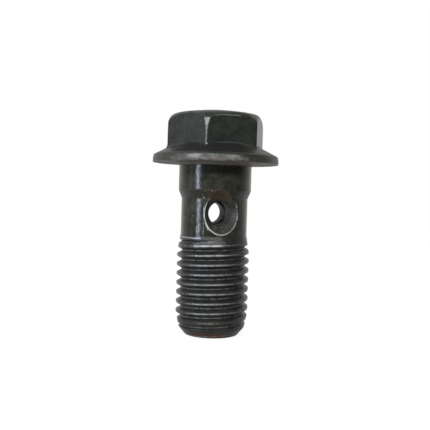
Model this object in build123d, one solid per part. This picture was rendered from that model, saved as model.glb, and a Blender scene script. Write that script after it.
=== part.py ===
from build123d import *
from math import atan2, ceil, cos, degrees, radians, sin, sqrt, tan
import os

# Banjo bolt: a hollow, cross-drilled bolt that clamps a ring-shaped hose end and
# lets fluid pass from the hose into the part it is screwed into. It is one piece.
# It stands on its threaded end, +Z up, head on top. The origin is the centre of
# the end face, and the cross hole runs along Y.
# Lengths are in millimetres, angles in degrees.

# Head
across_flats = 11.8        # wrench size: a nominal 12 mm hexagon
first_corner = 7.0         # angle of one hexagon corner from +X
corner_round = 0.35        # radius of the hexagon's six upright corners
head_height = 6.85         # bearing face to the top of the head
crown_flat = 3.2           # radius of the flat in the middle of the top
crown_bend = 5.4           # radius at which the crown turns steeper
crown_slope = 8.5          # slope of the crown inside the bend
crown_edge_slope = 39.0    # slope outside it, down over the corners

# Flange
flange_radius = 8.43
rim_height = 1.1           # upright wall of the rim
flange_slope = 27.0        # slope of the flange's upper side, up to the hexagon
rim_round = 0.35           # round on the rim's upper edge, turned as one narrow cone

# Shank
under_head_length = 22.85  # bearing face to end face
under_head_fillet = 0.6    # between the bearing face and the collar
fillet_steps = 2           # narrow cones that the fillet is turned in
collar_radius = 4.86       # pilots the hose end's ring
collar_length = 3.55
neck_radius = 4.44         # relief round the cross hole, as large as the thread's blank
taper_length = 1.05        # cone from the collar down to the neck
neck_bottom = 13.3         # height above the end face where the thread starts to run out

# Thread: M10 x 1.25, right hand
pitch = 1.25
crest_radius = 4.86
thread_depth = 0.76        # crest to root
runout_length = 2.4        # cone over which the crests grow from the neck
groove_top = 13.05         # height at which the groove ends
fade_turns = 0.65          # last part of a turn, in which the groove grows shallow
thread_phase = 184.0       # angle at which the groove's middle crosses the end plane
lead_length = 3.0          # end face to the first full crest
end_chamfer = 1.0          # length of the chamfer on the end
chamfer_radius = 4.45      # where the chamfer meets the first thread
end_radius = 3.6           # flat end face

# Passages
cross_hole_radius = 1.5
cross_hole_drop = 6.55     # bearing face to the axis of the cross hole
countersink_radius = 2.6   # mouth, measured on the neck's front line
countersink_angle = 90.0
bore_radius = 1.55         # along the axis, from the end face to the cross hole
bore_overrun = 2.0         # full bore past the axis of the cross hole
bore_chamfer = 0.25        # at the end face
drill_point_angle = 118.0

cutter_margin = 0.05       # how far a cutter reaches past the surface it cuts

top = under_head_length + head_height
cross_hole_height = under_head_length - cross_hole_drop
taper_bottom = under_head_length - collar_length - taper_length
root_radius = crest_radius - thread_depth


def crown_blank():
    """Head blank: a flat top that falls away in two cones to straight sides."""
    side = across_flats / sqrt(3)
    bend = top - (crown_bend - crown_flat) * tan(radians(crown_slope))
    edge = bend - (side - crown_bend) * tan(radians(crown_edge_slope))
    outline = Polygon(
        (0, top),
        (crown_flat, top),
        (crown_bend, bend),
        (side, edge),
        (side, under_head_length),
        (0, under_head_length),
        align=None,
    )
    return revolve(Plane.XZ * outline, Axis.Z)


def curve(centre, radius, start, end, steps):
    """Points along an arc in the turning plane, from one angle to another."""
    turn = (end - start) / steps
    angles = [radians(start + turn * step) for step in range(steps + 1)]
    return [(centre[0] + radius * cos(a), centre[1] + radius * sin(a)) for a in angles]


def hexagon():
    """Wrench hexagon with rounded corners, its top trimmed by the crown."""
    outline = RegularPolygon(across_flats / 2, 6, major_radius=False, rotation=first_corner)
    prism = extrude(Pos(0, 0, under_head_length) * outline, head_height)
    prism = fillet(prism.edges().filter_by(Axis.Z), corner_round)
    return prism & crown_blank()


def flange_outline():
    """Half section of the flange, from the bearing face up into the hexagon."""
    shoulder = under_head_length + rim_height
    inner = flange_radius - rim_round
    slope = tan(radians(flange_slope))
    rim = curve((inner, shoulder - rim_round), rim_round, 0, 90 - flange_slope, 1)
    edge_radius, edge_height = rim[-1]
    core = across_flats / 2 - 1
    core_height = edge_height + (edge_radius - core) * slope
    return [
        (flange_radius, under_head_length),
        *rim,
        (core, core_height),
        (0, core_height),
    ]


def shank_outline():
    """Half section of the bar, from the axis at the end face up to the bearing face."""
    fillet_centre = (collar_radius + under_head_fillet, under_head_length - under_head_fillet)
    return [
        (0, 0),
        (end_radius, 0),
        (chamfer_radius, end_chamfer),
        (crest_radius, lead_length),
        (crest_radius, neck_bottom - runout_length),
        (neck_radius, neck_bottom),
        (neck_radius, taper_bottom),
        (collar_radius, taper_bottom + taper_length),
        *curve(fillet_centre, under_head_fillet, 180, 90, fillet_steps),
    ]


def turned_body():
    """Flange, collar, neck and the bar that carries the thread, all turned on one axis."""
    outline = shank_outline() + flange_outline()
    return revolve(Plane.XZ * Polygon(*outline, align=None), Axis.Z)


def groove_turn(bottom, start_angle, turns, rise=0.0):
    """Three helical faces round one turn of the groove, and its section at both ends.

    The section is the thread's V, and it moves outward by rise."""
    half_mouth = 0.4375 * pitch * (1 + cutter_margin / thread_depth)
    mouth_radius = crest_radius + cutter_margin
    cone = degrees(atan2(rise, turns * pitch))

    def helix(radius, offset):
        line = Edge.make_helix(pitch, turns * pitch, radius, (0, 0, bottom + offset), angle=cone)
        return line.rotate(Axis.Z, start_angle)

    lines = [
        helix(root_radius, 0),
        helix(mouth_radius, half_mouth),
        helix(mouth_radius, -half_mouth),
    ]
    sides = [Face.make_surface_from_curves(a, b) for a, b in zip(lines, lines[1:] + lines[:1])]
    ends = [Face(Wire.make_polygon([line @ at for line in lines], close=True)) for at in (0, 1)]
    return sides, ends


def thread_groove():
    """The rolled groove: it enters below the end face and fades out at the neck."""
    fade_start = groove_top - fade_turns * pitch
    turns = fade_start / pitch + 1
    pieces = ceil(turns)
    share = turns / pieces
    faces = []
    for index in range(pieces):
        run = index * share
        sides, ends = groove_turn(run * pitch - pitch, thread_phase + 360 * run, share)
        faces += sides + (ends[:1] if index == 0 else [])
    sides, ends = groove_turn(
        fade_start, thread_phase + 360 * turns, fade_turns, thread_depth + cutter_margin
    )
    return Solid(Shell(faces + sides + ends[1:]))


def cross_hole():
    """Through hole along Y with a countersink at each mouth."""
    drill = Cylinder(cross_hole_radius, 4 * collar_radius, rotation=(90, 0, 0))
    slope = tan(radians(countersink_angle / 2))
    reach = collar_radius
    wide = countersink_radius + (reach - neck_radius) * slope
    tip = reach - wide / slope
    cone = revolve(Plane.XY * Polygon((0, tip), (wide, reach), (0, reach), align=None), Axis.Y)
    return Pos(0, 0, cross_hole_height) * (drill + cone + mirror(cone, Plane.XZ))


def axial_bore():
    """Blind bore from the end face, past the cross hole, with a drill's cone end."""
    full = cross_hole_height + bore_overrun
    point = bore_radius / tan(radians(drill_point_angle / 2))
    mouth = bore_radius + bore_chamfer
    outline = Polygon(
        (0, -cutter_margin),
        (mouth + cutter_margin, -cutter_margin),
        (bore_radius, bore_chamfer),
        (bore_radius, full),
        (0, full + point),
        align=None,
    )
    return revolve(Plane.XZ * outline, Axis.Z)


def banjo_bolt():
    """The whole bolt: forged head, turned and rolled shank, drilled passages."""
    return turned_body() + hexagon() - thread_groove() - cross_hole() - axial_bore()


os.makedirs("parts", exist_ok=True)
bolt = banjo_bolt()
export_step(bolt, "parts/banjo_bolt.step")
print("volume", round(bolt.volume, 2), "valid", bolt.is_valid, "solids", len(bolt.solids()))
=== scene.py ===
from math import cos, pi, radians, sin, tan
from types import SimpleNamespace

import bmesh
import bpy
import numpy as np
from mathutils import Matrix, Vector


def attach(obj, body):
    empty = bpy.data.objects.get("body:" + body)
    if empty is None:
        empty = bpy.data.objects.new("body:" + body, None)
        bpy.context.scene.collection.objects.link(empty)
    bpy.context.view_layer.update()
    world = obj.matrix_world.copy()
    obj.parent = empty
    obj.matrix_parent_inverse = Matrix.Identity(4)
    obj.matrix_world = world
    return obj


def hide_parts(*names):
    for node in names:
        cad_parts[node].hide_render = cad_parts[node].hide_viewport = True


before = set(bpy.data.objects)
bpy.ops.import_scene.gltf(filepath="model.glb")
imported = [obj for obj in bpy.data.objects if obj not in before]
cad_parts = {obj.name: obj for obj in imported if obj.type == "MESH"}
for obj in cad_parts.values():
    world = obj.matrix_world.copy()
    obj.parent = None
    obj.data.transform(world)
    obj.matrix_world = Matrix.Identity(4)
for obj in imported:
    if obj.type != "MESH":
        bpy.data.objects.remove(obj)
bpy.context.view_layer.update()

# Lengths are in millimetres and angles in degrees, until a mesh or an object is made.
# Angles round the bolt start at +X and turn towards +Y, so the front is at -90.
milli = 0.001


# Helpers for geometry and shader node trees

class Field:  # a node's output that takes part in plain sums, each of which is a Math node
    def __init__(self, tree, socket):
        self.tree = tree
        self.socket = socket

    def __add__(self, other):
        return calc("ADD", self, other)

    def __radd__(self, other):
        return calc("ADD", other, self)

    def __sub__(self, other):
        return calc("SUBTRACT", self, other)

    def __rsub__(self, other):
        return calc("SUBTRACT", other, self)

    def __mul__(self, other):
        return calc("MULTIPLY", self, other)

    def __truediv__(self, other):
        return calc("DIVIDE", self, other)

    def __rtruediv__(self, other):
        return calc("DIVIDE", other, self)

    def __pow__(self, other):
        return calc("POWER", self, other)

    def __abs__(self):
        return calc("ABSOLUTE", self)


def feed(value, socket):  # links a field, or sets a plain value
    if isinstance(value, Field):
        value.tree.links.new(value.socket, socket)
    else:
        socket.default_value = value


def treeOf(values):
    return next(value.tree for value in values if isinstance(value, Field))


def fromNode(tree, kind, inputs=None, output=0, **settings):  # adds a node and gives one output
    node = tree.nodes.new(kind)
    for name, setting in settings.items():
        setattr(node, name, setting)
    for key, value in (inputs or {}).items():
        feed(value, node.inputs[key])
    return Field(tree, node.outputs[output])


def calc(kind, *values):  # one Math node, with a field among its values
    return fromNode(treeOf(values), "ShaderNodeMath", dict(enumerate(values)), operation=kind)


def vectorCalc(kind, inputs, output="Vector"):  # one Vector Math node, likewise
    return fromNode(treeOf(inputs.values()), "ShaderNodeVectorMath", inputs, output, operation=kind)


def larger(first, *others):
    for other in others:
        first = calc("MAXIMUM", first, other)
    return first


def smaller(first, second):
    return calc("MINIMUM", first, second)


def straight(x, x0, y0, x1, y1):  # a line through two points
    return (x - x0) / (x1 - x0) * (y1 - y0) + y0


def ease(value, low, high, start=0.0, end=1.0):  # smooth step, from start at low to end at high
    inputs = {"Value": value, "From Min": low, "From Max": high, "To Min": start, "To Max": end}
    return fromNode(value.tree, "ShaderNodeMapRange", inputs, interpolation_type="SMOOTHSTEP")


def band(value, low, high, soft):  # 1 between low and high, with soft ends
    return ease(value, low - soft, low + soft) * ease(value, high + soft, high - soft)


def xyzOf(place):
    parts = place.tree.nodes.new("ShaderNodeSeparateXYZ")
    feed(place, parts.inputs[0])
    return [Field(place.tree, part) for part in parts.outputs]


def addObject(name, data):
    thing = bpy.data.objects.new(name, data)
    bpy.context.scene.collection.objects.link(thing)
    return thing


def interfaceOf(tree, inputs, outputs):  # its inputs as fields by name, and its output sockets
    for side, sockets in (("INPUT", inputs), ("OUTPUT", outputs)):
        for name, kind in sockets.items():
            tree.interface.new_socket(name=name, in_out=side, socket_type="NodeSocket" + kind)
    given = {socket.name: Field(tree, socket) for socket in tree.nodes.new("NodeGroupInput").outputs}
    return given, tree.nodes.new("NodeGroupOutput").inputs


# Rolled thread, M10 x 1.25, right hand. Each value is an input of its tree.

thread = {
    "Pitch": 1.25,
    "Crest radius": 4.86,
    "Depth": 0.76,
    "Flank angle": 30.0,
    "Phase": 184.0 / 360,    # where the groove crosses the end plane, in turns
    "Top": 13.3,             # the neck begins here
    "Neck radius": 4.44,
    "Groove top": 13.05,
    "Fade turns": 0.65,      # the groove's last part, which grows shallow
    "Fade curve": 1.6,
    "Fade overshoot": 0.05,  # the groove's root ends this far outside the crests
    "Lip height": 0.045,     # metal pushed up above the groove's last part
    "Lip reach": 0.17,
    "Lip drop": 0.05,        # from the groove's top down to the lip's middle
    "Run-out": 2.4,
    "Run-out softness": 0.03,
    "Lead": 3.0,             # the end to the first full crest
    "Chamfer": 1.0,
    "Chamfer radius": 4.45,
    "Chamfer softness": 0.08,
    "End radius": 3.6,
    "Root land": 0.02,
    "Root rounding": 0.3,
    "Crest rounding": 0.09,
    "Columns": 264,          # points round the bolt, in the rings above the thread too
    "Rows per turn": 18,
}
lipGrows, lipFades = (0.05, 0.2), (0.58, 0.46)  # over these shares of the groove's last part
weld = {"sheet": 0.002, "parts": 0.003, "drilled": 0.001}  # points closer than this become one


def threadTree():
    tree = bpy.data.node_groups.new("rolledThread", "GeometryNodeTree")
    kinds = {name: "Int" if isinstance(size, int) else "Float" for name, size in thread.items()}
    given, out = interfaceOf(tree, {**kinds, "Finish": "Material"}, {"Geometry": "Geometry"})
    pitch, crest, depth, phase = [given[name] for name in ("Pitch", "Crest radius", "Depth", "Phase")]
    top, chamfer, chamferRadius = given["Top"], given["Chamfer"], given["Chamfer radius"]

    # one sheet of points, wound round the bolt with its rows along the helix
    perColumn = calc("CEIL", (top / pitch + phase + 1.0) * given["Rows per turn"]) + 1.0
    size = {"Vertices X": given["Columns"] + 1.0, "Vertices Y": perColumn}
    sheet = fromNode(tree, "GeometryNodeMeshGrid", size, "Mesh")
    index = fromNode(tree, "GeometryNodeInputIndex")
    column = calc("FLOOR", (index + 0.5) / perColumn)
    row = index - column * perColumn
    turn = column / given["Columns"]
    place = row / given["Rows per turn"] + turn - (phase + 1.0)
    z = larger(smaller(place * pitch, top), 0.0)

    # the V groove, by the distance from the middle of its nearest turn
    wound = z / pitch - turn + phase
    nearest = calc("ROUND", wound)
    away = abs(wound - nearest) * pitch
    grooveHeight = (nearest + turn - phase) * pitch
    fade = given["Fade turns"] * pitch
    ending = smaller(larger((grooveHeight - (given["Groove top"] - fade)) / fade, 0.0), 1.0)
    root = ending ** given["Fade curve"] * (depth + given["Fade overshoot"]) + (crest - depth)
    flank = away / calc("TANGENT", calc("RADIANS", given["Flank angle"])) + root
    groove = calc("SMOOTH_MAX", root + given["Root land"], flank, given["Root rounding"])

    # the turned blank: end chamfer, lead, full crest and run-out
    chamferLine = straight(z, 0.0, given["End radius"], chamfer, chamferRadius)
    leadLine = straight(z, chamfer, chamferRadius, given["Lead"], crest)
    runLine = straight(z, top - given["Run-out"], crest, top, given["Neck radius"])
    lowBlank = calc("SMOOTH_MIN", chamferLine, leadLine, given["Chamfer softness"])
    blank = calc("SMOOTH_MIN", lowBlank, smaller(runLine, crest), given["Run-out softness"])
    fromLip = abs(z - (given["Groove top"] - given["Lip drop"]))
    lip = ease(fromLip, given["Lip reach"], 0.0) * ease(ending, *lipGrows) * ease(ending, *lipFades)
    blank = lip * given["Lip height"] + blank
    radius = calc("SMOOTH_MIN", groove, blank, given["Crest rounding"])

    angle = turn * (2 * pi)
    reach = radius * milli
    parts = {"X": reach * calc("COSINE", angle), "Y": reach * calc("SINE", angle), "Z": z * milli}
    spot = fromNode(tree, "ShaderNodeCombineXYZ", parts)

    def passOn(geometry, kind, **values):  # through the next node
        return fromNode(tree, "GeometryNode" + kind, {"Geometry": geometry, **values})

    wrapped = passOn(sheet, "SetPosition", Position=spot)
    closed = passOn(wrapped, "MergeByDistance", Distance=weld["sheet"] * milli)
    feed(passOn(passOn(closed, "RealizeInstances"), "SetMaterial", Material=given["Finish"]), out["Geometry"])
    return tree


def evaluated(thing):  # its mesh, with the modifiers applied
    return bpy.data.meshes.new_from_object(thing.evaluated_get(bpy.context.evaluated_depsgraph_get()))


def makeThread(finish):
    holder = addObject("threadMaker", bpy.data.meshes.new("threadMaker"))
    maker = holder.modifiers.new("thread", "NODES")
    maker.node_group = threadTree()
    values = {**thread, "Finish": finish}
    for item in maker.node_group.interface.items_tree:
        if item.in_out == "INPUT":
            maker[item.identifier] = values[item.name]
    made = evaluated(holder)
    holder.modifiers.remove(maker)
    bpy.data.objects.remove(holder)
    print("thread", len(made.polygons), "faces")
    return made


# Neck, collar, flange and head: rings from the thread's top to the crown's middle

shank = {
    "taperBottom": 18.25,
    "collarRadius": 4.86,
    "collarBottom": 19.3,
    "collarEdge": (0.055, 0.12),  # rings this far above the lower edge keep it crisp
    "underHead": 22.85,
    "fillet": 0.4,
    "burr": 0.05,                 # lip that the countersink raised on the neck
    "burrWidth": 0.16,
    "burrBelow": (1.4, 2.0),      # how much higher it is under the hole, in full this far down
    "burrFrom": 3.0,              # it begins this far from the axis, measured along the hole
    "burrEnds": (0.3, 0.1),       # it dies out this far from the neck's bottom and top
    "teeth": 27,                  # the cutter's marks round a mouth
    "teethWander": (2.0, 5),      # how unevenly they are spaced, and how often that swings
    "teethHeight": 1.2,           # beside the burr's own
    "teethSide": (0.5, 0.8),      # they come up only on the right
}
flange = {
    "radius": 8.43,
    "rimHeight": 1.16,
    "rimRound": 0.35,
    "rimBarrel": 0.03,    # how strongly the rim's wall curves in
    "barrelMiddle": 0.3,  # from this share of its height up
    "slope": 27.0,
    "lowerEdge": 0.1,
}
head = {
    "acrossFlats": 11.8,
    "firstCorner": 7.0,
    "cornerRound": 0.3,
    "cornerWear": (0.1, 0.15, 0.3, 0.2, 0.75, 0.05),  # how much rounder each corner is at its top
    "wearDepth": 1.9,            # how far down that reaches
    "top": 29.70,
    "crownFlat": 3.2,
    "crownBend": 0.3,            # on both sides of that flat's edge
    "crownSlope": 8.5,
    "shoulder": 5.0,             # outside it the crown curves down over the corners
    "shoulderDrop": 0.16,
    "shoulderPower": 3.3,
    "edgeWear": (0.42, 0.2),     # round between wall and crown, at the middle of a flat and at a corner
    "footFillet": (0.16, 0.55),  # round between wall and flange, likewise
    "footPower": 1.5,            # how late it grows towards a corner
    "bunching": 0.65,            # how far the points crowd towards the hexagon's corners
}
ringCounts = {
    "neck": 40, "taper": 7, "collar": 8, "fillet": 8, "bearing": 6, "lowerEdge": 4, "rim": 6, "rimRound": 9,
    "slope": 11, "foot": 7, "wall": 12, "wornEdge": 7, "shoulder": 8, "crown": 4, "crownBend": 3,
}
flatRings = {"crown": (2.2, 1.4, 0.7, 0.25), "end": (3.2, 2.4, 1.2)}  # radii on the two flat ends

columns = thread["Columns"]
evenAngles = np.arange(columns) * 2 * pi / columns
neckRadius = thread["Neck radius"]
flangeRise = tan(radians(flange["slope"]))


def fromCorner(degrees):  # how far round the nearest corner of the hexagon, -30 to 30
    return (degrees - head["firstCorner"] + 30) % 60 - 30


def bunchedAngles(weight):  # evenly spaced at 0, crowded at the hexagon's corners at 1
    moved = -head["bunching"] * (30 / pi) * np.sin(pi * fromCorner(np.degrees(evenAngles)) / 30)
    return evenAngles + np.radians(weight * moved)


def ownCorner(angles, values):  # each column's value, by its nearest corner
    return np.array(values)[np.round((np.degrees(angles) - head["firstCorner"]) / 60).astype(int) % 6]


def hexRadius(angles, rounding):  # from the axis to the hexagon's outline, its corners rounded
    flat = head["acrossFlats"] / 2
    offset = np.abs(fromCorner(np.degrees(angles)))
    fromFlat, near = np.radians(30 - offset), np.radians(offset)
    centre = (flat - rounding) / cos(radians(30))
    rounded = centre * np.cos(near) + np.sqrt(np.maximum(rounding ** 2 - (centre * np.sin(near)) ** 2, 0))
    tangent = np.arctan((flat - rounding) * tan(radians(30)) / flat)
    return np.where(fromFlat > tangent, rounded, flat / np.cos(fromFlat))


def crownHeight(radius, largest=np.maximum):  # of numbers or, with larger, of a field
    outward = largest(radius - head["shoulder"], 0.0)
    slope = tan(radians(head["crownSlope"]))
    drop = outward ** head["shoulderPower"] * head["shoulderDrop"]
    return head["top"] - (radius - head["crownFlat"]) * slope - drop


def coneHeight(radius):  # of the flange's upper side, drawn out to its full radius
    return shank["underHead"] + flange["rimHeight"] + (flange["radius"] - radius) * flangeRise


# The next three give rings from just past their start up to their end

def slant(start, end, steps):
    for step in range(1, steps + 1):
        yield [a + (b - a) * step / steps for a, b in zip(start, end)]


def arc(centre, radius, start, end, steps):
    for (a,) in slant((start,), (end,), steps):
        yield centre[0] + radius * cos(radians(a)), centre[1] + radius * sin(radians(a))


def softBend(start, corner, end, steps):  # a curve that rounds off a corner
    for step in range(1, steps + 1):
        t = step / steps
        yield [(1 - t) ** 2 * a + 2 * t * (1 - t) * b + t * t * c for a, b, c in zip(start, corner, end)]


def neckRings():  # with the countersinks' burrs
    bottom, top = thread["Top"], shank["taperBottom"]
    wander, swings = shank["teethWander"]
    sideFrom, sideTo = shank["teethSide"]
    lift, depth = shank["burrBelow"]
    lowEnd, highEnd = shank["burrEnds"]
    for z in np.linspace(bottom, top, ringCounts["neck"]):
        beside = np.abs(neckRadius * np.sin(evenAngles))
        right, up = neckRadius * np.cos(evenAngles), z - passages["crossHeight"]
        across, turn = np.hypot(right, up), np.arctan2(right, up)
        fromMouth = across - (beside - passages["sinkDepth"])
        teeth = np.clip(np.sin(turn * shank["teeth"] + wander * np.sin(turn * swings)), 0, 1)
        teeth *= np.clip((right / across - sideFrom) / (sideTo - sideFrom), 0, 1)
        size = shank["burr"] * (1 + lift * np.clip(-up / depth, 0, 1) + shank["teethHeight"] * teeth)
        burr = size * np.exp(-(fromMouth / shank["burrWidth"]) ** 2) * (beside > shank["burrFrom"])
        inside = min(1.0, (z - bottom) / lowEnd) * min(1.0, (top - z) / highEnd)
        yield neckRadius + burr * max(inside, 0.0), z


def collarRings():
    collar, low, fillet = shank["collarRadius"], shank["collarBottom"], shank["fillet"]
    high = shank["underHead"] - fillet
    yield from slant((neckRadius, shank["taperBottom"]), (collar, low), ringCounts["taper"])
    for rise in shank["collarEdge"]:
        yield collar, low + rise
    yield from slant((collar, low + rise), (collar, high), ringCounts["collar"])
    yield from arc((collar + fillet, high), fillet, 180, 90, ringCounts["fillet"])


def rimLean(share):  # how far the rim's wall leans in at this share of its height
    middle = flange["barrelMiddle"]
    return flange["rimBarrel"] * (2 * (share - middle)) ** 2 if share > middle else 0.0


def rimRings():
    wide, low, rounding = flange["radius"], flange["lowerEdge"], flange["rimRound"]
    foot = shank["underHead"] + low
    shoulder = shank["underHead"] + flange["rimHeight"] - rounding
    yield from arc((wide - low, foot), low, -90, 0, ringCounts["lowerEdge"])
    for share, height in slant((0, foot), (1, shoulder), ringCounts["rim"]):
        yield wide - rimLean(share), height
    centre = (wide - rimLean(1) - rounding, shoulder)
    yield from arc(centre, rounding, 0, 90 - flange["slope"], ringCounts["rimRound"])


def hexRings(edgeRadius, edgeHeight):  # flange, foot of the hexagon, its walls and their worn upper edge
    angles = bunchedAngles(1.0)
    plain = hexRadius(angles, head["cornerRound"])
    toCorner = (plain - plain.min()) / (plain.max() - plain.min())
    wallFoot = edgeHeight + (edgeRadius - plain) * flangeRise
    atFlat, atCorner = head["footFillet"]
    soft = atFlat + (atCorner - atFlat) * toCorner ** head["footPower"]
    slope = radians(flange["slope"])
    start = (plain + soft * cos(slope), wallFoot - soft * sin(slope))
    yield from slant((edgeRadius, edgeHeight), start, ringCounts["slope"])
    yield from softBend(start, (plain, wallFoot), (plain, wallFoot + soft), ringCounts["foot"])

    cornerTop = crownHeight(plain).min()

    def wornOutline(height):  # the corners are rounder towards the top
        share = np.clip((height - cornerTop + head["wearDepth"]) / head["wearDepth"], 0, 1)
        return hexRadius(angles, head["cornerRound"] + ownCorner(angles, head["cornerWear"]) * share ** 2)

    atFlat, atCorner = head["edgeWear"]
    wear = atFlat + (atCorner - atFlat) * toCorner
    outline = wornOutline(crownHeight(plain))
    wallTop = crownHeight(outline)
    for (height,) in list(slant((wallFoot + soft,), (wallTop - wear,), ringCounts["wall"]))[:-1]:
        yield wornOutline(height), height
    yield outline, wallTop - wear
    inner = outline - wear
    rounded = (outline, wallTop - wear), (outline, wallTop), (inner, crownHeight(inner))
    yield from softBend(*rounded, ringCounts["wornEdge"])


def crownRings(edgeRadius):
    shoulder, flat, bend, top = [head[key] for key in ("shoulder", "crownFlat", "crownBend", "top")]
    for (radius,) in slant((edgeRadius,), (shoulder,), ringCounts["shoulder"]):
        yield radius, crownHeight(radius)
    bendStart = flat + bend, crownHeight(flat + bend)
    yield from slant((shoulder, crownHeight(shoulder)), bendStart, ringCounts["crown"])
    yield from softBend(bendStart, (flat, top), (flat - bend, top), ringCounts["crownBend"])
    for radius in flatRings["crown"]:
        yield radius, top


def skinRings():  # each is (radius, height, bunching), the first two single or one for each column
    rings = [(*ring, 0.0) for part in (neckRings(), collarRings()) for ring in part]
    bearing = shank["underHead"]
    inner, outer = shank["collarRadius"] + shank["fillet"], flange["radius"] - flange["lowerEdge"]
    rings += slant((inner, bearing, 0.0), (outer, bearing, 1.0), ringCounts["bearing"])
    rings += [(*ring, 1.0) for ring in rimRings()]
    rings += [(*ring, 1.0) for ring in hexRings(*rings[-1][:2])]
    rings += [(*ring, 1.0) for ring in crownRings(rings[-1][0])]
    return rings


def meshOf(bm, name):
    mesh = bpy.data.meshes.new(name)
    bm.to_mesh(mesh)
    bm.free()
    return mesh


def skinLoops(bm, loops):  # quads between each loop of points and the next
    for lower, upper in zip(loops, loops[1:]):
        for i in range(len(lower)):
            j = (i + 1) % len(lower)
            bm.faces.new((lower[i], lower[j], upper[j], upper[i]))


def ringMesh(name, rings, closeAt):  # skins rings, with a fan to a point at the last one
    bm = bmesh.new()
    loops = []
    for radius, height, bunching in rings:
        angles = bunchedAngles(bunching)
        x, y = radius * np.cos(angles), radius * np.sin(angles)
        z = np.broadcast_to(np.asarray(height, float), x.shape)
        loops.append([bm.verts.new(p) for p in np.column_stack((x, y, z)) * milli])
    skinLoops(bm, loops)
    tip = bm.verts.new(Vector(closeAt) * milli)
    for i in range(columns):
        bm.faces.new((loops[-1][i], loops[-1][(i + 1) % columns], tip))
    return meshOf(bm, name)


# Drilled passages: a cross hole, countersunk at both ends, and a blind bore along the axis

passages = {
    "crossHeight": 16.30,
    "crossRadius": 1.5,
    "sinkDepth": 1.84,    # a countersink's tip is this far from the axis
    "cutterReach": 5.2,
    "boreRadius": 1.55,
    "boreTop": 18.3,
    "boreChamfer": 0.25,
    "pointAngle": 118.0,
    "pointRadius": 0.02,
    "cutterMargin": 0.1,  # how far the bore's cutter sticks out of the end face
    "cutterSides": 96,
}


def latheCutter(name, outline, turnTo, finish):  # a closed body turned from (radius, height) points
    bm = bmesh.new()
    angles = [2 * pi * i / passages["cutterSides"] for i in range(passages["cutterSides"])]
    loops = [[bm.verts.new((r * cos(a), r * sin(a), z)) for a in angles] for r, z in outline]
    skinLoops(bm, loops)
    bm.faces.new(loops[-1])
    bm.faces.new(loops[0][::-1])
    bmesh.ops.recalc_face_normals(bm, faces=bm.faces)
    mesh = meshOf(bm, name)
    mesh.transform(turnTo)
    mesh.transform(Matrix.Scale(milli, 4))
    mesh.materials.append(finish)
    return addObject(name, mesh)


def drill(bolt, cutter):
    cut = bolt.modifiers.new("drill", "BOOLEAN")
    cut.operation = "DIFFERENCE"
    cut.solver = "EXACT"
    cut.material_mode = "TRANSFER"
    cut.object = cutter
    mesh = evaluated(bolt)
    bolt.modifiers.remove(cut)
    bolt.data = mesh
    bpy.data.objects.remove(cutter)


def drillPassages(bolt, finish):
    side, tip, out = passages["crossRadius"], passages["sinkDepth"], passages["cutterReach"]
    across = [(out - tip, -out), (side, -(side + tip)), (side, side + tip), (out - tip, out)]
    lying = Matrix.Translation((0, 0, passages["crossHeight"])) @ Matrix.Rotation(pi / 2, 4, "X")
    drill(bolt, latheCutter("crossHole", across, lying, finish))
    bore, chamfer, full = passages["boreRadius"], passages["boreChamfer"], passages["boreTop"]
    margin = passages["cutterMargin"]
    point = (passages["pointRadius"], full + bore / tan(radians(passages["pointAngle"] / 2)))
    along = [(bore + chamfer + margin, -margin), (bore, chamfer), (bore, full), point]
    drill(bolt, latheCutter("axialBore", along, Matrix.Identity(4), finish))


# The whole bolt, one mesh with a finish for each zone of its faces

zones = ("thread", "shank", "head", "bearing", "flange", "crown")
zoneLimits = {
    "filletShare": 0.95,  # of the fillet's height, counted as the bearing face
    "level": 0.001,       # how exactly the bearing face is level
    "wallFoot": 0.12,     # the hexagon begins this far above the flange's slope
    "crownHeight": 27.5,
    "crownFacing": 0.3,   # above that height, a face that looks up this much belongs to the crown
}
sharpFrom = 38.0  # an edge stays sharp from this angle between its faces


def upperZone(face):  # the zone of a face above the thread
    limits = zoneLimits
    middle = face.calc_center_median() / milli
    bearing, heights = shank["underHead"], [v.co.z / milli for v in face.verts]
    lowest = bearing - shank["fillet"] * limits["filletShare"]
    if lowest < min(heights) and max(heights) < bearing + limits["level"]:
        return "bearing"
    if middle.z <= bearing:
        return "shank"
    if middle.z <= coneHeight(middle.to_2d().length) + limits["wallFoot"]:
        return "flange"
    onCrown = face.normal.z > limits["crownFacing"] and middle.z > limits["crownHeight"]
    return "crown" if onCrown else "head"


def sharpenMouths(mesh):  # a drilled face meets an outer one in a sharp edge, however flat the angle
    bm = bmesh.new()
    bm.from_mesh(mesh)
    for edge in bm.edges:
        kinds = {mesh.materials[f.material_index].name == "drilledSteel" for f in edge.link_faces}
        if len(kinds) == 2:
            edge.smooth = False
    bm.to_mesh(mesh)
    bm.free()


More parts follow.
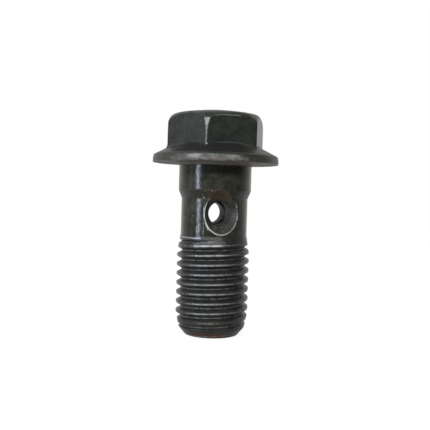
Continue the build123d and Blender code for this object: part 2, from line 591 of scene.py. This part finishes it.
def makeBolt(finishes):
    upper = ringMesh("upper", skinRings(), (0, 0, head["top"]))
    endRings = [(radius, 0.0, 0.0) for radius in (thread["End radius"], *flatRings["end"])]
    lower = ringMesh("lower", endRings, (0, 0, 0))
    print("upper part", len(upper.polygons), "faces")

    bm = bmesh.new()
    for mesh, zone in ((makeThread(finishes["thread"]), "thread"), (upper, "shank"), (lower, "thread")):
        start = len(bm.faces)
        bm.from_mesh(mesh)
        bm.faces.ensure_lookup_table()
        for face in bm.faces[start:]:
            face.material_index = zones.index(zone)
            face.smooth = True
    bmesh.ops.remove_doubles(bm, verts=bm.verts, dist=weld["parts"] * milli)
    bm.normal_update()
    for face in bm.faces:
        if zones[face.material_index] == "shank":
            face.material_index = zones.index(upperZone(face))
    bmesh.ops.recalc_face_normals(bm, faces=bm.faces)
    bolt = addObject("banjoBolt", meshOf(bm, "banjoBolt"))
    for zone in zones:
        bolt.data.materials.append(finishes[zone])
    drillPassages(bolt, finishes["drilled"])

    bm = bmesh.new()
    bm.from_mesh(bolt.data)
    bmesh.ops.remove_doubles(bm, verts=bm.verts, dist=weld["drilled"] * milli)
    bmesh.ops.recalc_face_normals(bm, faces=bm.faces)
    openEdges = sum(1 for edge in bm.edges if len(edge.link_faces) != 2)
    volume = bm.calc_volume() / milli ** 3
    bm.to_mesh(bolt.data)
    bm.free()
    bolt.data.polygons.foreach_set("use_smooth", [True] * len(bolt.data.polygons))
    bolt.data.set_sharp_from_angle(angle=radians(sharpFrom))
    sharpenMouths(bolt.data)
    bolt.data.calc_loop_triangles()
    triangles = len(bolt.data.loop_triangles)
    print("bolt", triangles, "triangles, volume", round(volume, 2), "open edges", openEdges)
    return bolt


# Effects that the finishes share

def noise(place, scale, detail=2.0, roughness=0.6, stretch=None):  # 0 to 1, about 0.5 on average
    if stretch:
        place = vectorCalc("MULTIPLY", {0: place, 1: stretch})
    inputs = {"Vector": place, "Scale": scale, "Detail": detail, "Roughness": roughness}
    return fromNode(place.tree, "ShaderNodeTexNoise", inputs, "Fac")


def blendColour(share, first, second):
    node = share.tree.nodes.new("ShaderNodeMix")
    node.data_type = "RGBA"
    feed(share, node.inputs["Factor"])
    for value, socket in zip((first, second), [s for s in node.inputs if s.type == "RGBA"]):
        feed(value if isinstance(value, Field) else (*value, 1), socket)
    return Field(share.tree, next(s for s in node.outputs if s.type == "RGBA"))


def shaderGroup(name, inputs, *outputs):
    tree = bpy.data.node_groups.new(name, "ShaderNodeTree")
    return tree, *interfaceOf(tree, inputs, dict.fromkeys(outputs, "Float"))


def mottleGroup():  # cloudy and grainy unevenness of the oxide
    inputs = {"Place": "Vector", "Cloud scale": "Float", "Grain scale": "Float"}
    tree, given, out = shaderGroup("oxideMottle", inputs, "Clouds", "Grain")
    clouds = noise(given["Place"], given["Cloud scale"], detail=3.0)
    grain = noise(given["Place"], given["Grain scale"], roughness=0.65)
    feed(ease(clouds, 0.3, 0.7), out["Clouds"])
    feed(ease(grain, 0.28, 0.72), out["Grain"])
    return tree


def wornGroup():  # where the oxide has rubbed through, broken up by the grain
    inputs = {"Rubbing": "Float", "Grain": "Float", "Bite": "Float"}
    tree, given, out = shaderGroup("rubbedThrough", inputs, "Mask")
    uneven = (given["Grain"] - 0.5) * given["Bite"]
    feed(ease(given["Rubbing"] + uneven, 0.25, 0.85) * ease(given["Rubbing"], 0.0, 0.1), out["Mask"])
    return tree


def specksGroup():  # small pale specks, random in place and size
    inputs = {"Place": "Vector", "Spacing": "Float", "Size": "Float", "Share": "Float"}
    tree, given, out = shaderGroup("specks", inputs, "Mask")
    cells = tree.nodes.new("ShaderNodeTexVoronoi")
    feed(given["Place"], cells.inputs["Vector"])
    feed(1.0 / given["Spacing"], cells.inputs["Scale"])
    pick = tree.nodes.new("ShaderNodeSeparateColor")
    feed(Field(tree, cells.outputs["Color"]), pick.inputs[0])
    chance, ownSize = Field(tree, pick.outputs[0]), Field(tree, pick.outputs[1])
    near = Field(tree, cells.outputs["Distance"]) / (given["Size"] * (ownSize * 0.8 + 0.4))
    feed(calc("LESS_THAN", chance, given["Share"]) * ease(near, 1.0, 0.4), out["Mask"])
    return tree


def helixGroup():  # how far a point is from the groove's middle, along the axis
    tree, given, out = shaderGroup("alongThread", {"Height": "Float", "Degree": "Float"}, "From root")
    wound = given["Height"] / thread["Pitch"] - given["Degree"] / 360.0 + thread["Phase"]
    feed(abs(wound - calc("ROUND", wound)) * thread["Pitch"], out["From root"])
    return tree


groups = {"mottle": mottleGroup(), "worn": wornGroup(), "specks": specksGroup(), "helix": helixGroup()}


def effect(name, **values):  # places a group, with _ for a space in its inputs' names
    tree = treeOf(values.values())
    node = tree.nodes.new("ShaderNodeGroup")
    node.node_tree = groups[name]
    for key, value in values.items():
        feed(value, node.inputs[key.replace("_", " ")])
    return {socket.name: Field(tree, socket) for socket in node.outputs}


def boltPlace(tree):  # where a point is on the bolt: in millimetres, and round it in degrees
    inMetres = fromNode(tree, "ShaderNodeTexCoord", output="Object")
    place = vectorCalc("SCALE", {0: inMetres, "Scale": 1 / milli})
    x, y, z = xyzOf(place)
    radius, degree = calc("SQRT", x * x + y * y), calc("ARCTAN2", y, x) * (180 / pi)
    return SimpleNamespace(place=place, x=x, y=y, z=z, radius=radius, degree=degree)


# Wear and painted light. A function for each zone says where it is rubbed through to steel, stained, and
# dulled and shaded, the darkening of that last being painted shade; some rubbed marks are partly painted
# highlight, as said at each. In the dictionaries, Heights, Turns and Depths are the two ends of a stretch,
# Levels and Widths are the least and the most, and another pair is where a mark begins to show and where
# it is full. A patch is where its middle is (angle, height) and how far it reaches (in degrees sideways, up
# and down).

def patch(p, degree, z, wide, tall):  # a soft round patch, 1 in its middle
    turn, rise = (p.degree - degree) / wide, (p.z - z) / tall
    return ease(calc("SQRT", turn * turn + rise * rise), 1.0, 0.35)


def fromHole(p):  # distance from the cross hole's axis, and height above it
    up = p.z - passages["crossHeight"]
    return calc("SQRT", up * up + p.x * p.x), up


threadWear = {
    "crest": (0.5, 0.57),  # distance from the groove's middle
    "crestWander": 0.08,   # how uneven that is
    "crestTop": (12.6, 12.3),
    "crestFoot": (0.75, 3.5),
    "crestFootLevel": 0.3,
    "front": -105.0,       # painted highlight: the rubbed crests are brightest on this side, where the key light catches them
    "frontReach": (48.0, 6.0),
    "highlightLevels": (0.47, 0.9),
    "streakLevel": 0.62,   # the dullest of the streaks down the thread
    # painted highlight: a pale line along each groove's root, where the key light glints
    "root": (0.12, 0.03),
    "rootTop": (12.4, 11.8),
    "rootHighlightLevel": 0.62,
    "runOutTurns": (-123.0, -80.0),  # faint hatching on the run-out
    "runOutHeights": (12.1, 12.75),
    "runOutLevels": (0.22, 0.42),
    "rustTop": (1.05, 0.35),
    "rustTurns": (-145.0, -62.0),
    "rustPatch": (-106.0, 2.0, 20.0, 0.35),
    "rustPatchLevel": 0.6,
}
lipWear = {"heights": (12.93, 13.12), "end": (-119.0, -126.0), "level": 0.68}


def lipLine(p):  # bright lip over the groove's end, on thread and shank
    return band(p.z, *lipWear["heights"], 0.05) * ease(p.degree, *lipWear["end"]) * lipWear["level"]


def threadMarks(p):  # crests rubbed bright, with painted highlight towards the front; a pale root line that is painted highlight; rust at the end
    wear = threadWear
    fromRoot = effect("helix", Height=p.z, Degree=p.degree)["From root"]
    streaks = noise(p.place, 2.2, detail=3.0, roughness=0.7, stretch=(1.0, 1.0, 0.5))
    streaks = ease(streaks, 0.36, 0.6, wear["streakLevel"])
    front = ease(abs(p.degree - wear["front"]), *wear["frontReach"], *wear["highlightLevels"])
    wandering = (noise(p.place, 3.5) - 0.5) * wear["crestWander"] + fromRoot
    crest = ease(wandering, *wear["crest"]) * ease(p.z, *wear["crestTop"]) * streaks * front
    crest *= ease(p.z, *wear["crestFoot"], wear["crestFootLevel"])
    root = ease(fromRoot, *wear["root"]) * ease(p.z, *wear["rootTop"]) * streaks * wear["rootHighlightLevel"]
    hatch = noise(p.place, 5.0, roughness=0.7, stretch=(1.0, 1.0, 2.5))
    runOut = band(p.degree, *wear["runOutTurns"], 3.0) * band(p.z, *wear["runOutHeights"], 0.1)
    runOut *= ease(hatch, 0.3, 0.65, *wear["runOutLevels"])
    patchy = noise(p.place, 0.9, detail=3.0)
    rust = ease(p.z, *wear["rustTop"]) * ease(patchy, 0.36, 0.53) * band(p.degree, *wear["rustTurns"], 10.0)
    above = patch(p, *wear["rustPatch"]) * ease(patchy, 0.3, 0.6) * wear["rustPatchLevel"]
    return {"rubbed": larger(crest, root, runOut, lipLine(p)), "stained": larger(rust, above)}


shankWear = {
    "lipWidth": 0.09,               # of the bright line round a countersink
    "lipBelow": 0.19,               # how much wider it is under the hole, partly painted highlight on its upward-facing lower side
    "lipTeeth": 0.42,               # and at the cutter's marks, right of the front mouth
    "lipTop": (-0.85, -0.4),        # it fades over the hole, partly painted highlight, as its upper side faces down; -1 is straight above it
    "lipRight": (0.7, 1.3),         # and is dimmed at its upper right
    "lipRightLevel": 0.6,
    "lipGaps": 0.62,                # how bright it still is where it's broken up
    "wedge": (-116.0, 14.4, 10.0, 0.9),
    "wedgeWidth": 0.4,
    "markTurn": -120.2,             # a fine upright line left of the hole
    "markHeights": (13.2, 17.7),
    "markLevel": 0.48,
    "scuffsAndSheen": (                     # scratched patches, partly painted highlight along the strip light's streak down the neck: each is a patch, how much of it is scratched, and how bright
        ((-136.0, 15.8, 10.0, 0.7), (0.58, 0.7), 0.5),
        ((-131.0, 14.6, 5.0, 1.8), (0.5, 0.6), 0.5),
        ((-121.0, 18.5, 5.0, 0.7), (0.5, 0.62), 0.43),
    ),
    "edgeHeights": (19.12, 19.27),  # the collar's lower edge
    "edgeTurns": (-127.0, -99.0),
    "edgeLevels": (0.2, 0.44),
    "brown": (-101.0, 18.7, 36.0, 1.1),
    "brownLevel": 0.9,
    # painted shade on the down-facing taper
    "taperShade": 0.75,
}


def shankMarks(p):  # the countersinks' lips, partly painted highlight; a brown taper, rougher and darkened as painted shade; a few scratches, partly painted highlight
    wear = shankWear
    across, up = fromHole(p)
    low, right = up / (across * -1.0), p.x / across
    teeth = ease(noise(p.place, 4.5, detail=1.0, roughness=0.5), 0.42, 0.58)
    width = larger(low, 0.0) * wear["lipBelow"] + wear["lipWidth"]
    width += ease(right, 0.5, 0.9) * teeth * ease(p.y, -1.0, -2.0) * wear["lipTeeth"]
    ragged = ease(noise(p.place, 6.0), 0.42, 0.6, 0.15, 0.9)
    width += patch(p, *wear["wedge"]) * ragged * wear["wedgeWidth"]
    fromMouth = across - (abs(p.y) - passages["sinkDepth"])
    lip = ease(fromMouth / width, 1.3, 0.5) * ease(low, *wear["lipTop"])
    lip *= ease(noise(p.place, 9.0), 0.35, 0.6, wear["lipGaps"])
    lip *= ease(right - low, *wear["lipRight"], 1.0, wear["lipRightLevel"])
    mark = ease(abs(p.degree - wear["markTurn"]), 1.0, 0.3) * band(p.z, *wear["markHeights"], 0.3)
    scratch = noise(p.place, 6.0, stretch=(1.0, 1.0, 0.35))
    scuffsAndSheen = [patch(p, *spot) * ease(scratch, *share) * level for spot, share, level in wear["scuffsAndSheen"]]
    edge = band(p.z, *wear["edgeHeights"], 0.05) * band(p.degree, *wear["edgeTurns"], 4.0)
    edge *= ease(teeth, 0.0, 1.0, *wear["edgeLevels"])
    brown = patch(p, *wear["brown"]) * ease(noise(p.place, 0.9, detail=3.0), 0.25, 0.6)
    taper = band(p.z, shank["taperBottom"], shank["collarBottom"], 0.1)
    return {"rubbed": larger(lip, mark * wear["markLevel"], *scuffsAndSheen, edge, lipLine(p)),
            "stained": brown * wear["brownLevel"], "dulledAndShaded": taper * wear["taperShade"]}


drilledWear = {
    "sinkAcross": (1.6, 1.75),      # the countersinks begin this far from the hole's axis
    "sinkAlong": (2.9, 3.1),        # and this far from the bolt's axis
    # the tool marks show on the countersinks' right and bottom, partly painted highlight where light falls on
    # them
    "chatterTurns": (50.0, 150.0),  # round the hole: 0 is up and 90 to the right
    "chatterPace": 0.55,
    "chatterWander": 5.0,
    "chatterLevel": 0.35,
    "bottomTurn": (125.0, 160.0),
    "bottomLevels": (0.15, 0.6),
    "brown": (1.3, 2.1),            # height above the hole's axis
    "brownLevel": 0.7,
    # painted shade in the bore and on the hole's wall, outside the countersinks
    "boreShade": 0.4,
}


def drilledMarks(p):  # chatter in the countersinks, partly painted highlight; a bore rougher and darkened as painted shade; brown above
    wear = drilledWear
    across, up = fromHole(p)
    turn = calc("DEGREES", calc("ARCTAN2", p.x, up))
    sink = ease(across, *wear["sinkAcross"]) * ease(abs(p.y), *wear["sinkAlong"])
    wander = noise(p.place, 1.5)
    ridges = calc("SINE", turn * wear["chatterPace"] + wander * wear["chatterWander"])
    right = band(turn, *wear["chatterTurns"], 15.0) * ease(ridges, 0.2, 0.9) * wear["chatterLevel"]
    low = ease(abs(turn), *wear["bottomTurn"]) * ease(wander, 0.35, 0.6, *wear["bottomLevels"])
    brown = ease(up, *wear["brown"]) * ease(wander, 0.3, 0.6) * wear["brownLevel"]
    return {"rubbed": sink * larger(right, low), "stained": brown, "dulledAndShaded": (1.0 - sink) * wear["boreShade"]}


hexWear = {
    "corner": -113.0,               # the corner that is worn most
    "cornerReach": (20.0, 15.0),
    "otherCorners": 0.3,
    "stripHeights": (26.9, 28.4),   # its bright strip widens over these
    "stripWidths": (0.14, 0.55),
    "brightHeights": (25.2, 28.0),  # and grows brighter over these, partly painted highlight where its top catches the key light
    "cornerHighlightLevels": (0.6, 0.68),
    "stripTop": (28.75, 28.35),
    "cornerRadius": 6.65,           # a worn corner's distance from the axis
    "flatTurns": (-104.0, -60.0),   # the flat whose edges are worn, partly painted highlight along them
    "topDepths": (-0.1, 0.03),      # below the start of the round between wall and crown
    "topLevel": 0.75,
    "topFades": (-76.0, -64.0),
    "topFaded": 0.3,
    "footHeights": (0.02, 0.12),    # above the flange's slope
    "footLevel": 0.7,
}


def hexMarks(p):  # the worn corner and the edges of one flat, each partly painted highlight
    wear = hexWear
    flat = head["acrossFlats"] / 2
    offset = calc("WRAP", p.degree - head["firstCorner"], 30.0, -30.0)
    along = p.radius * calc("SINE", calc("RADIANS", 30.0 - abs(offset)))
    toCorner = flat * tan(radians(30)) - along
    worn = ease(abs(p.degree - wear["corner"]), *wear["cornerReach"], wear["otherCorners"])
    corner = ease(toCorner / ease(p.z, *wear["stripHeights"], *wear["stripWidths"]), 1.1, 0.5) * worn
    corner *= ease(p.z, *wear["brightHeights"], *wear["cornerHighlightLevels"]) * ease(p.z, *wear["stripTop"])
    atFlat, atCorner = head["edgeWear"]
    below = crownHeight(p.radius, larger) - p.z
    fromEdge = below + straight(p.radius, flat, -atFlat, wear["cornerRadius"], -atCorner)
    patchy = ease(noise(p.place, 1.2), 0.3, 0.55, 0.4) * band(p.degree, *wear["flatTurns"], 4.0)
    edge = band(fromEdge, *wear["topDepths"], 0.05) * patchy * wear["topLevel"]
    edge *= ease(p.degree, *wear["topFades"], 1.0, wear["topFaded"])
    # a pale line at the foot of that flat, partly painted highlight
    foot = band(p.z - coneHeight(p.radius), *wear["footHeights"], 0.06) * patchy * wear["footLevel"]
    return {"rubbed": larger(corner, edge), "stained": foot}


crownNotch = (-111.0, 28.62, 8.5, 0.6)
filletRust = {"heights": (22.4, 22.6), "level": 0.9}


def crownMarks(p):  # dark notch over the worn corner
    return {"dulledAndShaded": patch(p, *crownNotch)}


def bearingMarks(p):  # rust where the fillet ends
    patchy = ease(noise(p.place, 0.9, detail=3.0), 0.3, 0.5)
    return {"stained": band(p.z, *filletRust["heights"], 0.06) * patchy * filletRust["level"]}


flangeWear = {
    "dentHeights": (22.96, 23.72),
    "dentMiddle": -103.5,
    "dentReach": (36.0, 20.0),
    "dentRadius": (8.16, 8.28),  # only on the rim's wall
    "dentLevels": (0.32, 0.66),
    "bright": ((-120.0, 23.45, 6.0, 0.4), (-88.0, 23.5, 8.0, 0.35)),  # patches of brighter dents, partly painted highlight
    # painted highlight: how much brighter those patches are
    "brightLevel": 0.35,
    "front": -106.0,
    "frontReach": (48.0, 28.0),
    "stainTop": (23.6, 23.2),
    "slopeShadeRadius": (8.22, 8.0),   # painted shade, only on the slope, in front where it mirrors the dark hexagon
    "slopeShadeLevel": 1.4,
}


def flangeMarks(p):  # bright dents on the rim's wall, partly painted highlight, brown stains there, and painted shade on the slope in front
    wear = flangeWear
    patchy, fine = noise(p.place, 0.9, detail=4.0, roughness=0.65), noise(p.place, 3.0)
    wavy = (fine - 0.5) * 0.5 + p.z
    front = ease(abs(p.degree - wear["front"]), *wear["frontReach"])
    bright = larger(*[patch(p, *spot) for spot in wear["bright"]])
    dents = bright * wear["brightLevel"] + ease(patchy, 0.35, 0.65, *wear["dentLevels"])
    dents *= band(wavy, *wear["dentHeights"], 0.16) * ease(p.radius, *wear["dentRadius"])
    dents *= ease(abs(p.degree - wear["dentMiddle"]), *wear["dentReach"]) * ease(fine, 0.3, 0.6, 0.7)
    return {"rubbed": dents, "stained": ease(p.z, *wear["stainTop"]) * ease(patchy, 0.65, 0.35) * front,
            "dulledAndShaded": ease(p.radius, *wear["slopeShadeRadius"]) * front * wear["slopeShadeLevel"]}


# Finishes: black oxide over steel, a little different in each zone

def bareSteel(colour, rough, metal, bite):  # bite is how much the grain breaks up its edges
    return {"colour": colour, "rough": rough, "metal": metal, "bite": bite}


finishLooks = {  # base and stain colours, bare steel, gloss, how far gloss and tone vary, bumps, specks
    "thread": {
        "marks": threadMarks, "base": (0.036, 0.038, 0.035), "stain": (0.13, 0.055, 0.035),
        "bare": bareSteel((0.50, 0.51, 0.50), 0.44, 0.6, 0.12),
        "specular": 0.5, "rough": 0.3, "uneven": 0.04, "clouds": 0.3, "bump": 0.01, "specks": 0.02,
    },
    "shank": {
        "marks": shankMarks, "base": (0.042, 0.043, 0.032), "stain": (0.09, 0.052, 0.02),
        "bare": bareSteel((0.86, 0.86, 0.8), 0.4, 0.15, 0.35),
        "specular": 0.5, "rough": 0.18, "uneven": 0.16, "clouds": 0.4, "bump": 0.008, "specks": 0.03,
    },
    "head": {
        "marks": hexMarks, "base": (0.038, 0.042, 0.037), "stain": (0.13, 0.14, 0.14),
        "bare": bareSteel((0.33, 0.335, 0.32), 0.42, 0.5, 0.35),
        "specular": 0.5, "rough": 0.22, "uneven": 0.03, "clouds": 0.25, "bump": 0.005, "specks": 0.09,
    },
    "crown": {
        # painted light: the crown's base is lighter than the walls', as its top faces the bright surroundings
        # above
        "marks": crownMarks, "base": (0.066, 0.070, 0.062),
        "specular": 0.5, "rough": 0.34, "uneven": 0.06, "clouds": 0.3, "bump": 0.01,
    },
    "flange": {
        "marks": flangeMarks, "base": (0.050, 0.051, 0.044), "stain": (0.2, 0.17, 0.14),
        "bare": bareSteel((0.33, 0.34, 0.33), 0.5, 0.2, 0.15),
        "specular": 0.5, "rough": 0.38, "uneven": 0.1, "clouds": 0.25, "bump": 0.02,
    },
    "bearing": {
        # painted light: the bearing face's pale base stands in for the floor's light it reflects from below
        "marks": bearingMarks, "base": (0.30, 0.28, 0.26), "stain": (0.16, 0.08, 0.07),
        "specular": 0.15, "rough": 0.6, "uneven": 0.1, "clouds": 0.3, "bump": 0.03,
    },
    "drilled": {
        "marks": drilledMarks, "base": (0.056, 0.056, 0.051), "stain": (0.13, 0.095, 0.045),
        "bare": bareSteel((0.2, 0.2, 0.19), 0.5, 0.4, 0.5),
        "specular": 0.3, "rough": 0.45, "uneven": 0.1, "clouds": 0.35, "bump": 0.02,
    },
}
oxide = {
    "cloudScale": 0.8,  # clouds and grains for each millimetre
    "grainScale": 5.0,
    "grainTone": 0.3,   # how far the grain alone varies the tone
    "grainBump": 0.6,   # its height, beside that of the clouds
    "stainRough": 0.3,  # how much rougher a stain is
    "dullRough": 0.35,
    # painted shade: how far a dulled and shaded place is darkened, and towards which colour
    "shadeShare": 0.6,
    "shadeColour": (0.01, 0.01, 0.008),
    "speckColour": (0.2, 0.2, 0.19),
    "speckSpacing": 0.55,
    "speckSize": 0.12,
}


def oxideFinish(zone):
    look = finishLooks[zone]
    material = bpy.data.materials.new(zone + "Steel")
    material.use_nodes = True
    tree = material.node_tree
    shader = tree.nodes["Principled BSDF"].inputs
    p = boltPlace(tree)
    mottle = effect("mottle", Place=p.place, Cloud_scale=oxide["cloudScale"], Grain_scale=oxide["grainScale"])
    clouds, grain = mottle["Clouds"], mottle["Grain"]
    marks = look["marks"](p)

    tone = clouds * (2 * look["clouds"]) + (1 - look["clouds"])
    tone *= grain * oxide["grainTone"] + (1 - oxide["grainTone"] / 2)
    colour = vectorCalc("SCALE", {0: look["base"], "Scale": tone})
    rough = grain * look["uneven"] + (look["rough"] - look["uneven"] / 2)
    if "stained" in marks:
        colour = blendColour(marks["stained"], colour, look["stain"])
        rough += marks["stained"] * oxide["stainRough"]
    # painted shade: darker where marked, and rougher too
    if "dulledAndShaded" in marks:
        colour = blendColour(marks["dulledAndShaded"] * oxide["shadeShare"], colour, oxide["shadeColour"])
        rough += marks["dulledAndShaded"] * oxide["dullRough"]
    if "specks" in look:
        specks = effect("specks", Place=p.place, Spacing=oxide["speckSpacing"], Size=oxide["speckSize"],
                        Share=look["specks"])
        colour = blendColour(specks["Mask"], colour, oxide["speckColour"])
    if "rubbed" in marks:
        steel = look["bare"]
        mask = effect("worn", Rubbing=marks["rubbed"], Grain=grain, Bite=steel["bite"])["Mask"]
        colour = blendColour(mask, colour, steel["colour"])
        rough = mask * (steel["rough"] - rough) + rough
        feed(mask * steel["metal"], shader["Metallic"])
    feed(colour, shader["Base Color"])
    feed(rough, shader["Roughness"])
    feed(look["specular"], shader["Specular IOR Level"])
    height = grain * oxide["grainBump"] + clouds
    bump = {"Strength": 1.0, "Distance": look["bump"] * milli, "Height": height}
    feed(fromNode(tree, "ShaderNodeBump", bump), shader["Normal"])
    return material


finishes = {zone: oxideFinish(zone) for zone in finishLooks}
print("finishes", ", ".join(finishes))
bolt = makeBolt(finishes)
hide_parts("banjo_bolt")
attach(bolt, "root")


# Camera

cameraSet = {
    "distance": 87.06,  # from the bolt's axis, on the level
    "side": -12.5,      # turned round the axis from the front
    "height": 18.696,
    "down": 1.788,
    "across": 0.0785,
    "roll": 1.6626,
    "lens": 54.045,
    "sensor": 36,
}


def makeCamera():
    side, down, across, roll = [radians(cameraSet[key]) for key in ("side", "down", "across", "roll")]
    level = Vector((-sin(side), cos(side), 0))
    right = Vector((cos(side), sin(side), 0))
    ahead = cos(across) * cos(down) * level + sin(across) * cos(down) * right - sin(down) * Vector((0, 0, 1))
    flatRight = cos(across) * right - sin(across) * level
    flatUp = flatRight.cross(ahead)
    x = cos(roll) * flatRight + sin(roll) * flatUp
    y = cos(roll) * flatUp - sin(roll) * flatRight
    place = (-level * cameraSet["distance"] + Vector((0, 0, cameraSet["height"]))) * milli
    camera = addObject("camera", bpy.data.cameras.new("camera"))
    camera.data.lens = cameraSet["lens"]
    camera.data.sensor_width = cameraSet["sensor"]
    camera.data.clip_start, camera.data.clip_end = 0.001, 10
    turned = Matrix((x, y, -ahead)).transposed().to_4x4()
    camera.matrix_world = Matrix.Translation(place) @ turned
    bpy.context.scene.camera = camera


# Studio, with its own lengths in metres

def softbox(turn, height, wide, tall, level, tint):
    return {"turn": turn, "height": height, "wide": wide, "tall": tall, "level": level, "tint": tint}


softboxes = {  # turn from the camera, height, width and tallness, in degrees seen from the bolt
    "keyLight": softbox(-5.0, 24.5, 62.0, 4.0, 22.0, (1.0, 1.0, 0.98)),
    "stripLight": softbox(-55.2, 4.0, 4.8, 50.0, 18.0, (0.87, 0.96, 1.18)),
    "sideLight": softbox(-81.0, 4.0, 6.0, 50.0, 0.9, (1.0, 1.0, 1.0)),
}
studio = {
    "lightDistance": 0.6,
    "aim": 0.015,                 # height of the bolt's middle
    "backdropLevels": (           # cosine of the angle from straight behind the bolt, and brightness
        (-1.0, 0.06), (-0.3, 0.05), (0.0, 0.1), (0.1, 0.2), (0.24, 0.36),
        (0.44, 0.48), (0.62, 0.66), (0.83, 0.8), (0.94, 0.83), (1.0, 0.65),
    ),
    "backdropTint": (0.985, 1.0, 0.95),
    "overheadLean": 1.2,          # how far the backdrop leans over the top
    "floorRadius": 0.12,
    "floorSides": 96,
    "floorColour": (0.35, 0.35, 0.35, 1),
    "floorGlow": 0.86,
    "floorShown": (-0.02, 0.03),  # depths over which reflections begin to show that glow
}


def makeSoftbox(name):
    box, distance = softboxes[name], studio["lightDistance"]
    turn, height = radians(cameraSet["side"] + box["turn"]), radians(box["height"])
    towards = Vector((sin(turn) * cos(height), -cos(turn) * cos(height), sin(height)))
    lamp = bpy.data.lights.new(name, "AREA")
    lamp.shape = "RECTANGLE"
    lamp.size = 2 * distance * tan(radians(box["wide"] / 2))
    lamp.size_y = 2 * distance * tan(radians(box["tall"] / 2))
    lamp.energy = box["level"] * pi * lamp.size * lamp.size_y
    lamp.color = box["tint"]
    light = addObject(name, lamp)
    light.location = towards * distance + Vector((0, 0, studio["aim"]))
    light.rotation_mode = "QUATERNION"
    light.rotation_quaternion = towards.to_track_quat("Z", "Y")
    light.visible_camera = False


def rays(tree, *kinds):  # for each kind, a field that is 1 for its rays
    path = tree.nodes.new("ShaderNodeLightPath").outputs
    return [Field(tree, path["Is " + kind + " Ray"]) for kind in kinds]


def makeWorld():
    world = bpy.data.worlds.new("studio")
    world.use_nodes = True
    bpy.context.scene.world = world
    tree = world.node_tree
    tree.nodes.clear()
    direction = fromNode(tree, "ShaderNodeTexCoord", output="Generated")

    def along(vector):
        return vectorCalc("DOT_PRODUCT", {0: direction, 1: vector}, "Value")

    # 0 straight in front of the bolt, where the camera is, and 1 straight behind it
    side = radians(cameraSet["side"])
    lean = larger(along((0, 0, 1)), 0.0) * studio["overheadLean"] + 1.0
    behind = along((sin(side), -cos(side), 0)) * -1.0 * lean * 0.5 + 0.5
    ramp = tree.nodes.new("ShaderNodeValToRGB")
    elements = ramp.color_ramp.elements
    while len(elements) < len(studio["backdropLevels"]):
        elements.new(0.5)
    for element, (cosine, level) in zip(elements, studio["backdropLevels"]):
        element.position = cosine * 0.5 + 0.5
        element.color = [level * tint for tint in studio["backdropTint"]] + [1]
    feed(behind, ramp.inputs[0])

    surroundings = fromNode(tree, "ShaderNodeBackground", {"Color": Field(tree, ramp.outputs["Color"])})
    backdrop = fromNode(tree, "ShaderNodeBackground", {"Color": (1, 1, 1, 1)})
    seen = larger(*rays(tree, "Camera", "Transmission"))
    mixed = fromNode(tree, "ShaderNodeMixShader", {0: seen, 1: surroundings, 2: backdrop})
    feed(mixed, tree.nodes.new("ShaderNodeOutputWorld").inputs["Surface"])


def makeFloor():
    bm = bmesh.new()
    bmesh.ops.create_circle(bm, cap_ends=True, segments=studio["floorSides"], radius=studio["floorRadius"])
    floor = addObject("floor", meshOf(bm, "floor"))
    material = bpy.data.materials.new("floorWhite")
    material.use_nodes = True
    tree = material.node_tree
    tree.nodes.clear()
    card = fromNode(tree, "ShaderNodeBsdfDiffuse", {"Color": studio["floorColour"]})
    x, y = xyzOf(fromNode(tree, "ShaderNodeTexCoord", output="Object"))[:2]
    side = radians(cameraSet["side"])
    depth = y * cos(side) - x * sin(side)
    camera, glossy, transmission = rays(tree, "Camera", "Glossy", "Transmission")
    shown = larger(camera, glossy * ease(depth, *studio["floorShown"]), transmission)
    glow = fromNode(tree, "ShaderNodeEmission", {"Strength": shown * studio["floorGlow"]})
    both = fromNode(tree, "ShaderNodeAddShader", {0: card, 1: glow})
    feed(both, tree.nodes.new("ShaderNodeOutputMaterial").inputs["Surface"])
    floor.data.materials.append(material)


makeCamera()
makeWorld()
for name in softboxes:
    makeSoftbox(name)
makeFloor()
bpy.context.scene.view_settings.view_transform = "Standard"
print("studio ready")
